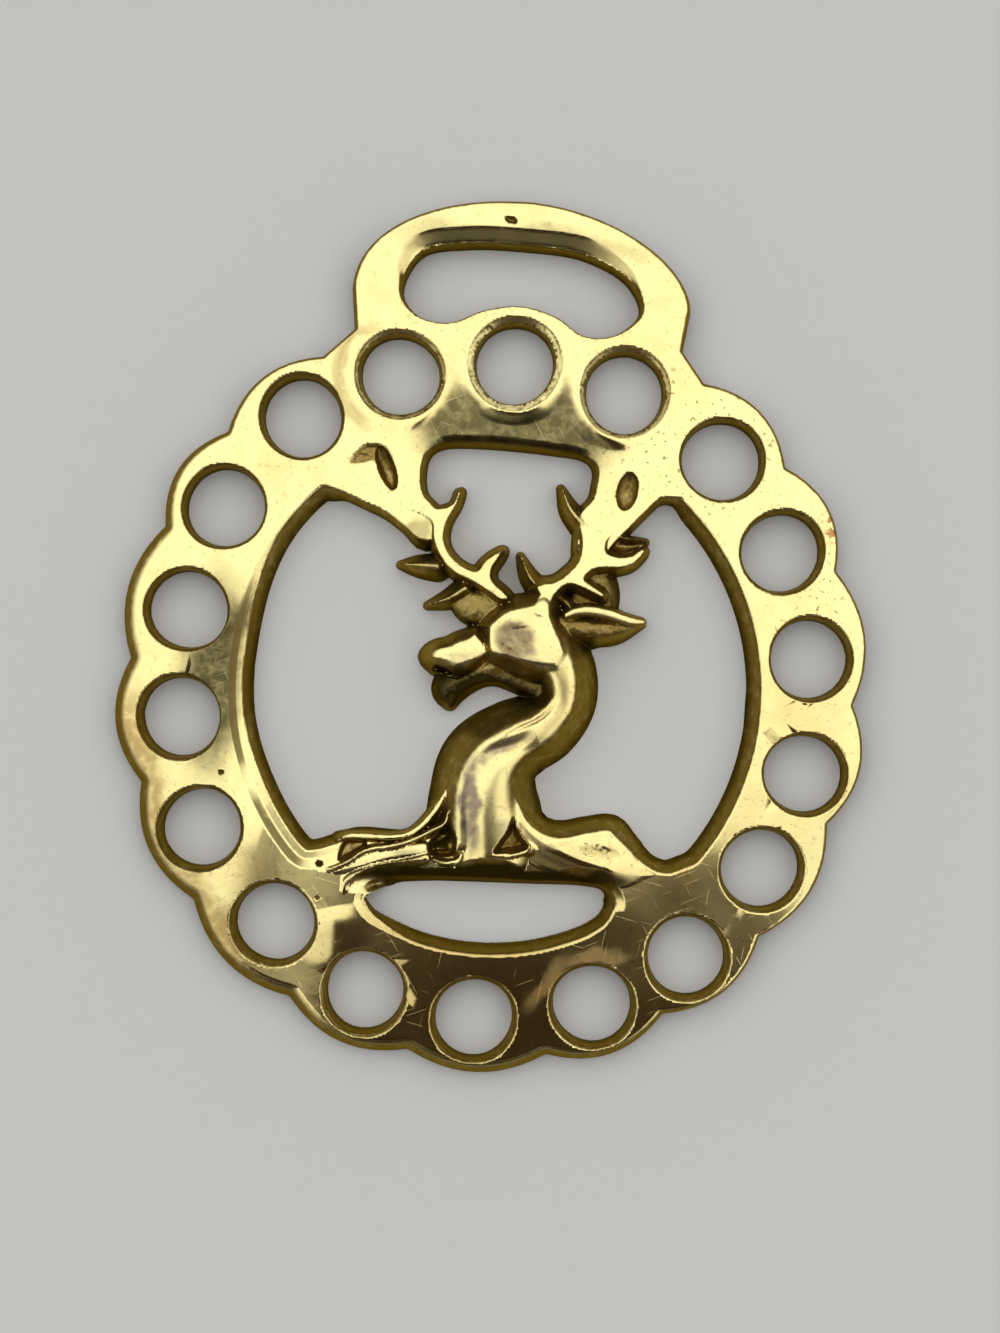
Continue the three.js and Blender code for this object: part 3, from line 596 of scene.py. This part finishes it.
coarse = land[::VOXEL, ::VOXEL]
ground = np.sqrt(1 + slope_x[::VOXEL, ::VOXEL] ** 2 + slope_y[::VOXEL, ::VOXEL] ** 2)
levels = (np.arange(-3, int(TOP_LEVEL / STEP)) + 0.5) * STEP
solid = (levels[None, None, :] - coarse[:, :, None]) / ground[:, :, None]
solid = np.maximum(solid, -levels[None, None, :])
limit = 3 * STEP
grid = openvdb.FloatGrid(limit)
grid.copyFromArray(np.clip(solid, -limit, limit).astype(np.float64))
points, quads = grid.convertToQuads(isovalue=0.0)
spots = np.empty((len(points), 3))
spots[:, 0] = WEST + points[:, 1] * STEP
spots[:, 1] = SOUTH + points[:, 0] * STEP
spots[:, 2] = levels[0] + points[:, 2] * STEP

first = bpy.data.meshes.new("casting_blank")
first.from_pydata(spots, [], quads[:, ::-1])
blank = bpy.data.objects.new("casting_blank", first)
bpy.context.scene.collection.objects.link(blank)
fewer = blank.modifiers.new("fewer", "DECIMATE")
fewer.ratio = min(1.0, TRIANGLES / (2 * len(quads)))
fewer.use_collapse_triangulate = True
brass = bpy.data.meshes.new_from_object(blank.evaluated_get(bpy.context.evaluated_depsgraph_get()))
bpy.data.objects.remove(blank)
brass.name = "horse_brass"

flat = np.empty(len(brass.vertices) * 3)
brass.vertices.foreach_get("co", flat)
p = flat.reshape(-1, 3)
back = p[:, 2] < BACK_BAND * STEP
edge = back & (read(land, p[:, 0], p[:, 1]) < EDGE_BAND)
p[back, 2] = 0
for _ in range(ROUNDS):
    gx, gy = read(slope_x, p[:, 0], p[:, 1]), read(slope_y, p[:, 0], p[:, 1])
    miss = p[:, 2] - read(land, p[:, 0], p[:, 1])
    pull = np.clip(miss / (gx * gx + gy * gy + np.where(back, 0.01, 1)), -PULL_LIMIT, PULL_LIMIT)
    move = edge | ~back
    p[move, 0] += (PULL * pull * gx)[move].clip(-SIDE_LIMIT, SIDE_LIMIT)
    p[move, 1] += (PULL * pull * gy)[move].clip(-SIDE_LIMIT, SIDE_LIMIT)
    p[~back, 2] -= PULL * pull[~back]
p[:, 2] = np.maximum(p[:, 2], 0)

# Normals come from the map itself, so they don't show the triangles. Where a triangle stands far
# from the map's own slope, as on the back and along sharp edges, its own normal is kept
gx, gy = read(slope_x, p[:, 0], p[:, 1]), read(slope_y, p[:, 0], p[:, 1])
normals = np.stack([-gx, -gy, np.ones(len(gx))], axis=1)
normals /= np.linalg.norm(normals, axis=1)[:, None]
height = p[:, 2].copy()
raw_here = read(raw, p[:, 0], p[:, 1])
p[:, 0] += RING_X
p[:, 1] += RING_Y
brass.vertices.foreach_set("co", (p * MM).ravel())
brass.update()
corners = np.empty(len(brass.loops), np.int32)
brass.loops.foreach_get("vertex_index", corners)
faces = np.empty(len(brass.polygons) * 3)
brass.polygons.foreach_get("normal", faces)
faces = faces.reshape(-1, 3)
per_corner = normals[corners]
of_face = np.repeat(faces, 3, axis=0)
apart = (per_corner * of_face).sum(axis=1) < 0.5
per_corner[apart] = of_face[apart]
brass.polygons.foreach_set("use_smooth", np.ones(len(brass.polygons), bool))
brass.normals_split_custom_set(per_corner)
for name, values in (("raw", raw_here), ("height", height)):
    brass.attributes.new(name, "FLOAT", "POINT").data.foreach_set("value", values.astype(np.float32))
print("casting:", len(brass.polygons), "triangles")

# Brass
# Yellow cast brass, buffed bright on the face and left brown and grainy on the walls and in the
# pits. The buffed face has fine scratches, dark specks of porosity and a little reddish tarnish.
casting = bpy.data.objects.new("horse_brass", brass)
bpy.context.scene.collection.objects.link(casting)
metal = bpy.data.materials.new("brass")
metal.use_nodes = True
nodes, links = metal.node_tree.nodes, metal.node_tree.links
nodes.clear()


def node(kind, **settings):
    """A node of this kind, with its settings and the values or links of its inputs."""
    made = nodes.new(kind)
    for key, value in settings.items():
        if key.startswith("in_"):
            socket_in = made.inputs[key[3:].replace("_", " ")]
            if isinstance(value, bpy.types.NodeSocket):
                links.new(value, socket_in)
            else:
                socket_in.default_value = value
        else:
            setattr(made, key, value)
    return made


def reckon(operation, a, b=0.0, clamp=False):
    made = nodes.new("ShaderNodeMath")
    made.operation = operation
    made.use_clamp = clamp
    for slot_in, value in zip(made.inputs, (a, b)):
        if isinstance(value, bpy.types.NodeSocket):
            links.new(value, slot_in)
        else:
            slot_in.default_value = value
    return made.outputs[0]


def between(value, low, high, to_low=0.0, to_high=1.0):
    made = nodes.new("ShaderNodeMapRange")
    made.interpolation_type = "SMOOTHSTEP"
    links.new(value, made.inputs["Value"])
    for name, number in (("From Min", low), ("From Max", high), ("To Min", to_low), ("To Max", to_high)):
        made.inputs[name].default_value = number
    return made.outputs["Result"]


def blended(amount, a, b):
    made = nodes.new("ShaderNodeMix")
    made.data_type = "RGBA"
    if isinstance(amount, bpy.types.NodeSocket):
        links.new(amount, made.inputs["Factor"])
    else:
        made.inputs["Factor"].default_value = amount
    for slot_in, value in ((made.inputs[6], a), (made.inputs[7], b)):
        if isinstance(value, bpy.types.NodeSocket):
            links.new(value, slot_in)
        else:
            slot_in.default_value = (*value, 1)
    return made.outputs[2]


def noise(scale, detail=3.0, roughness=0.55, vector=None):
    made = nodes.new("ShaderNodeTexNoise")
    made.inputs["Scale"].default_value = scale
    made.inputs["Detail"].default_value = detail
    made.inputs["Roughness"].default_value = roughness
    links.new(vector or place, made.inputs["Vector"])
    return made.outputs["Fac"]


def patch(x, y, wide, high, degrees=0.0, soft=0.35):
    """A soft oval about a place on the face, in mm from the middle of the ring. Its edge wavers."""
    turned = node("ShaderNodeMapping", vector_type="TEXTURE", in_Vector=wavering,
                  in_Location=((x + RING_X) * MM, (y + RING_Y) * MM, 0),
                  in_Rotation=(0, 0, math.radians(degrees)),
                  in_Scale=(wide * MM, high * MM, 1000.0))
    reach = nodes.new("ShaderNodeVectorMath")
    reach.operation = "LENGTH"
    links.new(turned.outputs["Vector"], reach.inputs[0])
    return between(reach.outputs["Value"], 1 + soft, 1 - soft)


def scratches(degrees, amount):
    """Fine straight scratches in one direction."""
    turned = node("ShaderNodeMapping", vector_type="TEXTURE", in_Vector=place,
                  in_Rotation=(0, 0, math.radians(degrees)), in_Scale=(0.006, 0.00013, 1))
    return between(noise(1.0, 1.0, 0.5, turned.outputs["Vector"]), 0.72 - amount, 0.8 - amount)


def highest(first, *others):
    for other in others:
        first = reckon("MAXIMUM", first, other)
    return first


def share(mask, amount):
    return reckon("MULTIPLY", mask, amount, clamp=True)


POLISHED = (0.925, 0.81, 0.36)
WARM = (0.93, 0.66, 0.24)
WALL = (0.21, 0.135, 0.022)
# The darkest colour serves the specks of porosity and also painted shade under the jaw, head and bust and low
# on the walls
PORES_AND_SHADE = (0.03, 0.02, 0.007)
OLIVE = (0.085, 0.07, 0.026)
BROWN = (0.30, 0.19, 0.06)
RUST = (0.30, 0.09, 0.02)
# The brown at the foot is a painted dark reflection
FOOT_REFLECTION_BROWN = (0.34, 0.20, 0.06)
ORANGE = (0.30, 0.12, 0.025)
TINGE = (0.80, 0.42, 0.12)
GREY_BROWN = (0.29, 0.23, 0.155)
# The dark of the filed slope is a painted reflection
SLOPE_REFLECTION_DARK = (0.12, 0.085, 0.026)
place = node("ShaderNodeTexCoord").outputs["Object"]
stir = node("ShaderNodeTexNoise", in_Scale=260.0, in_Detail=3.0, in_Vector=place).outputs["Color"]
shift = node("ShaderNodeVectorMath", operation="SUBTRACT")
links.new(stir, shift.inputs[0])
shift.inputs[1].default_value = (0.5, 0.5, 0.5)
small = node("ShaderNodeVectorMath", operation="SCALE", in_Scale=0.0035)
links.new(shift.outputs["Vector"], small.inputs[0])
added = node("ShaderNodeVectorMath", operation="ADD")
links.new(place, added.inputs[0])
links.new(small.outputs["Vector"], added.inputs[1])
wavering = added.outputs["Vector"]
raw_mask = node("ShaderNodeAttribute", attribute_name="raw").outputs["Fac"]
height_mask = node("ShaderNodeAttribute", attribute_name="height").outputs["Fac"]
upright = node("ShaderNodeSeparateXYZ", in_Vector=node("ShaderNodeTexCoord").outputs["Normal"])
upright = upright.outputs["Z"]
steep_mask = between(upright, 0.9, 0.68)
tilted = between(upright, 0.997, 0.955)
mottle = noise(900, 4)
broad = noise(110, 4)
scored = highest(scratches(24, 0.03), scratches(-58, 0.015), scratches(81, 0.0), scratches(-12, 0.0))

# The buffed face is pale yellow, warmer and darker in soft blotches
colour = blended(between(broad, 0.45, 0.75, 0.0, 0.5), POLISHED, WARM)
cloud = between(noise(420, 5, 0.6), 0.3, 0.62, 0.13, 0.0)
colour = blended(cloud, colour, BROWN)

# Olive tarnish where the buff couldn't reach: above the antlers, on the loop's slope, where the
# left antler meets its palm, and on the ring's inner half on the left. Scratches show bright in it
clear_rings = share(highest(*(patch(*on_ring(hole_angle(i), HOLE_OUT[i]), 5.3, 5.3, 0, 0.1)
                              for i in (0, 1, HOLES - 1))), 1.0)
clear_rings = reckon("SUBTRACT", 1.0, clear_rings)
above = reckon("MULTIPLY", patch(0.4, 25.8, 9.6, 5.8, 0, 0.25), clear_rings)
olive = highest(share(above, 0.9), share(patch(-28.3, -0.5, 2.8, 9, 0, 0.5), 0.97),
                share(patch(-0.6, 45.0, 11.5, 1.5, 0, 0.4), 0.4),
                share(patch(-8.4, 15.6, 1.3, 1.3, 0, 0.4), 0.5))
olive = reckon("MULTIPLY", olive, between(mottle, 0.3, 0.6, 0.8, 1.0))
olive = reckon("MULTIPLY", olive, reckon("SUBTRACT", 1.0, share(scored, 0.55)))
colour = blended(olive, colour, OLIVE)

# A painted brown reflection at the foot and an orange streak there, a brown arc beside one of the
# top holes, and an orange tinge on the right of the ring
painted_foot_reflection = highest(share(patch(-2.0, -29, 15, 8, 0, 0.3), 0.55), share(patch(16, -25, 11, 7, 40, 0.4), 0.35))
painted_foot_reflection = reckon("MULTIPLY", painted_foot_reflection, reckon("SUBTRACT", 1.0, share(scored, 0.7)))
colour = blended(painted_foot_reflection, colour, FOOT_REFLECTION_BROWN)
streak = highest(patch(11.6, -26.2, 2.9, 0.7, 14, 0.7), patch(7.4, -29.0, 2.9, 0.8, 56, 0.7))
colour = blended(share(streak, 0.55), colour, ORANGE)
x, y = on_ring(hole_angle(1), HOLE_OUT[1])
arc = reckon("SUBTRACT", patch(x - 0.5, y, 6.3, 6.3, 0, 0.07), patch(x, y, 5.5, 5.5, 0, 0.05), clamp=True)
arc = reckon("MULTIPLY", arc, patch(x - 5, y - 0.5, 3.6, 6.0, 0, 0.3))
colour = blended(share(arc, 0.45), colour, BROWN)
colour = blended(share(patch(31.5, -3, 3.4, 4.0, 0, 0.7), 0.3), colour, TINGE)

# Specks of porosity, most of them at the upper right and on the tip of the bust, and reddish
# chips on the right of the rim
specks = between(noise(1700, 2, 0.5), 0.625, 0.675)
specks = reckon("MULTIPLY", specks, highest(
    patch(12.6, -15.4, 2.8, 0.8, -4, 0.4), patch(18, 26, 9, 8, 0, 0.4), patch(31, 10, 4, 9, 0, 0.5),
    share(patch(5, 0, 50, 55), 0.35)))
colour = blended(share(specks, 0.6), colour, PORES_AND_SHADE)
chips = reckon("MULTIPLY", between(noise(1300, 3), 0.5, 0.56), patch(33.0, 18.8, 1.1, 1.8, 0, 0.5))
colour = blended(share(chips, 0.85), colour, RUST)

# Grey-brown wear on the eye, with painted shade under the muzzle and the cheek and in the flutes of
# the neck; painted shade on the sloping rim on the left and at the foot, and a painted dark
# reflection on the filed slope on the opening's left
wear_and_shade_grey = highest(
    share(patch(1.5, 5.1, 2.1, 2.0, 0, 0.25), 0.95),
    # Painted shade below the muzzle and the cheek, in the neck's flutes and on the bust's left
    share(patch(-3.6, 2.2, 2.9, 0.9, 12, 0.5), 0.45),
    share(patch(3.0, 3.0, 2.2, 0.7, -20, 0.6), 0.5),
    share(patch(-1.75, -11.4, 0.8, 4.8, 2, 0.4), 1.0),
    share(patch(0.7, -5.8, 2.6, 0.55, 34, 0.5), 0.85),
    share(patch(2.2, -14.2, 1.0, 1.4, 30, 0.5), 0.5),
    share(patch(-7.0, -17.2, 1.4, 0.7, -15, 0.5), 0.5))
wear_and_shade_grey = reckon("MULTIPLY", wear_and_shade_grey, between(mottle, 0.3, 0.6, 0.6, 1.0))
colour = blended(wear_and_shade_grey, colour, GREY_BROWN)
# Painted shade on the sloping rim, in a wider band outside the holes at the lower left
painted_rim_shade = reckon("MULTIPLY", tilted, reckon("SUBTRACT", 1.0, patch(2.0, 2.0, 35.5, 37.5, 0, 0.03)))
painted_outer_rim_shade = reckon("SUBTRACT", 1.0, patch(0.8, 1.0, 35.4, 36.6, 0, 0.03))
painted_outer_rim_shade = reckon("MULTIPLY", painted_outer_rim_shade, patch(-31, -18, 9, 17, 35, 0.3))
painted_outer_rim_shade = reckon("MULTIPLY", painted_outer_rim_shade, between(mottle, 0.35, 0.6, 0.5, 1.0))
painted_rim_shade = highest(painted_rim_shade, painted_outer_rim_shade)
colour = blended(share(painted_outer_rim_shade, 0.6), colour, BROWN)
colour = blended(share(painted_rim_shade, 0.35), colour, BROWN)
# A painted dark reflection on the filed slope of the opening's left side
painted_slope_reflection = highest(patch(-26.3, -2, 2.2, 13, 0, 0.3), patch(-22, -16, 2.2, 6, 45, 0.3))
painted_slope_reflection = reckon("MULTIPLY", tilted, painted_slope_reflection)
colour = blended(share(painted_slope_reflection, 0.9), colour, SLOPE_REFLECTION_DARK)

# Brown cast skin on the walls and in the pits, with painted shade that makes it darkest low down
browned = reckon("MULTIPLY", highest(raw_mask, steep_mask), between(mottle, 0.2, 0.55, 0.72, 1.0))
colour = blended(share(browned, 0.92), colour, WALL)
# Painted shade in the throat under the jaw and head, and on the slopes under the bust above the crescent
painted_shade = highest(
    share(patch(-0.5, 0.9, 6.2, 1.0, -4, 0.3), 0.8),
    share(patch(4.6, 0.0, 1.5, 1.4, 0, 0.3), 0.7),
    share(patch(-4.5, 0.0, 2.3, 1.9, 0, 0.25), 0.85),
    share(patch(0.5, -18.7, 13.5, 1.4, 1.5, 0.25), 0.9))
painted_shade = reckon("MULTIPLY", painted_shade, highest(raw_mask, steep_mask, tilted))
colour = blended(painted_shade, colour, PORES_AND_SHADE)
# Painted shade: walls and pits darker the nearer they lie to the back
low_painted_shade = between(height_mask, 0.0, 2.6, 0.9, 0.0)
colour = blended(reckon("MULTIPLY", low_painted_shade, browned), colour, PORES_AND_SHADE)

# The flat buffed face mirrors. What is tilted, on the stag, tarnished or scratched is duller
BUFFED = 0.085
DULLEST = 0.27
BRASS_EDGE = (0.85, 0.66, 0.32, 1)
stag_skin = patch(2, 0, 15, 16.5, 0, 0.08)
satin = highest(tilted, share(stag_skin, 0.9), share(above, 0.6), share(scored, 0.3),
                share(patch(-28.3, -0.5, 4.5, 12, 0, 0.5), 0.75), share(patch(15, -24, 7, 6, -40, 0.5), 0.22))
roughness = between(satin, 0.0, 1.0, BUFFED, DULLEST)
roughness = reckon("ADD", roughness, share(highest(raw_mask, steep_mask), 0.17))
roughness = reckon("ADD", roughness, share(streak, 0.14))
fine = noise(2600, 3, 0.6)
grainy = reckon("ADD", reckon("MULTIPLY", fine, raw_mask), share(scored, 0.025))
bump = node("ShaderNodeBump", in_Strength=0.6, in_Distance=0.00007, in_Height=grainy)
shader = node("ShaderNodeBsdfPrincipled", in_Metallic=1.0, in_Specular_Tint=BRASS_EDGE)
links.new(colour, shader.inputs["Base Color"])
links.new(roughness, shader.inputs["Roughness"])
links.new(bump.outputs["Normal"], shader.inputs["Normal"])
output = node("ShaderNodeOutputMaterial")
links.new(shader.outputs["BSDF"], output.inputs["Surface"])
brass.materials.clear()
brass.materials.append(metal)
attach(casting, "root")
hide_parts("brass_casting")

# Floor
# A plain pale table top under the brass.
FLOOR_HALF = 12
FLOOR_DROP = 0.00005
PALE = (0.62, 0.62, 0.61, 1)
bpy.ops.mesh.primitive_plane_add(size=2 * FLOOR_HALF, location=(0, 0, -FLOOR_DROP))
floor = bpy.context.object
floor.name = "floor"
paper = bpy.data.materials.new("pale_floor")
paper.use_nodes = True
paper_inputs = paper.node_tree.nodes["Principled BSDF"].inputs
paper_inputs["Base Color"].default_value = PALE
paper_inputs["Roughness"].default_value = 0.8
paper_inputs["Specular IOR Level"].default_value = 0.2
floor.data.materials.append(paper)

# Light
# One broad soft sky overhead, with a dark gap in it that the foot of the brass mirrors as deep
# brown. Places in the sky are given as slopes: how far aside or ahead for each length up.
world = bpy.data.worlds.new("studio")
bpy.context.scene.world = world
world.use_nodes = True
nodes, links = world.node_tree.nodes, world.node_tree.links
nodes.clear()
SKY = 1.36
AROUND = 0.42
SKY_COLOUR = (1.0, 0.995, 0.98)
GAP_COLOUR = (0.036, 0.023, 0.012)
GAP_MIDDLE = 0.032
GAP_SIDES = (0.102, 0.092)
GAP_FRONT = (-0.045, -0.08)
WIDENS_FROM = -0.1
WIDENS_BY = 0.7
way = node("ShaderNodeTexCoord").outputs["Generated"]
split = node("ShaderNodeSeparateXYZ", in_Vector=way).outputs
up = reckon("MAXIMUM", split["Z"], 0.02)
aside = reckon("DIVIDE", split["X"], up)
ahead = reckon("DIVIDE", split["Y"], up)
off_middle = reckon("ABSOLUTE", reckon("SUBTRACT", aside, GAP_MIDDLE))
beyond = reckon("MAXIMUM", reckon("SUBTRACT", WIDENS_FROM, ahead), 0.0)
widening = reckon("MULTIPLY", beyond, WIDENS_BY)
off_middle = reckon("SUBTRACT", off_middle, widening)
in_gap = reckon("MULTIPLY", between(ahead, *GAP_FRONT), between(off_middle, *GAP_SIDES))
overhead = between(split["Z"], 0.3, 0.66, AROUND, SKY)
overhead = reckon("MULTIPLY", overhead, between(ahead, -0.16, 0.08, 0.84, 1.0))
sky = node("ShaderNodeVectorMath", operation="SCALE")
sky.inputs[0].default_value = SKY_COLOUR
links.new(overhead, sky.inputs["Scale"])
in_gap = reckon("MULTIPLY", in_gap, between(split["Z"], 0.15, 0.3))
light = blended(in_gap, sky.outputs["Vector"], GAP_COLOUR)
glow = node("ShaderNodeBackground", in_Color=light, in_Strength=1.0)
links.new(glow.outputs["Background"], node("ShaderNodeOutputWorld").inputs["Surface"])
bpy.context.scene.view_settings.view_transform = "Standard"

# Camera
# It looks straight down on the brass, turned a few degrees, from about 250 mm.
CAMERA_HEIGHT = 0.25
AIM = (0.00072, -0.0029)
TURN = math.radians(4)
FRAME_HEIGHT = 0.1333
SENSOR = 36
camera_data = bpy.data.cameras.new("camera")
camera = bpy.data.objects.new("camera", camera_data)
bpy.context.scene.collection.objects.link(camera)
camera_data.sensor_width = SENSOR
camera_data.lens = SENSOR * CAMERA_HEIGHT / FRAME_HEIGHT
camera.location = (*AIM, PLATE * MM + CAMERA_HEIGHT)
camera.rotation_euler = (0, 0, TURN)
camera_data.clip_start = 0.01
bpy.context.scene.camera = camera
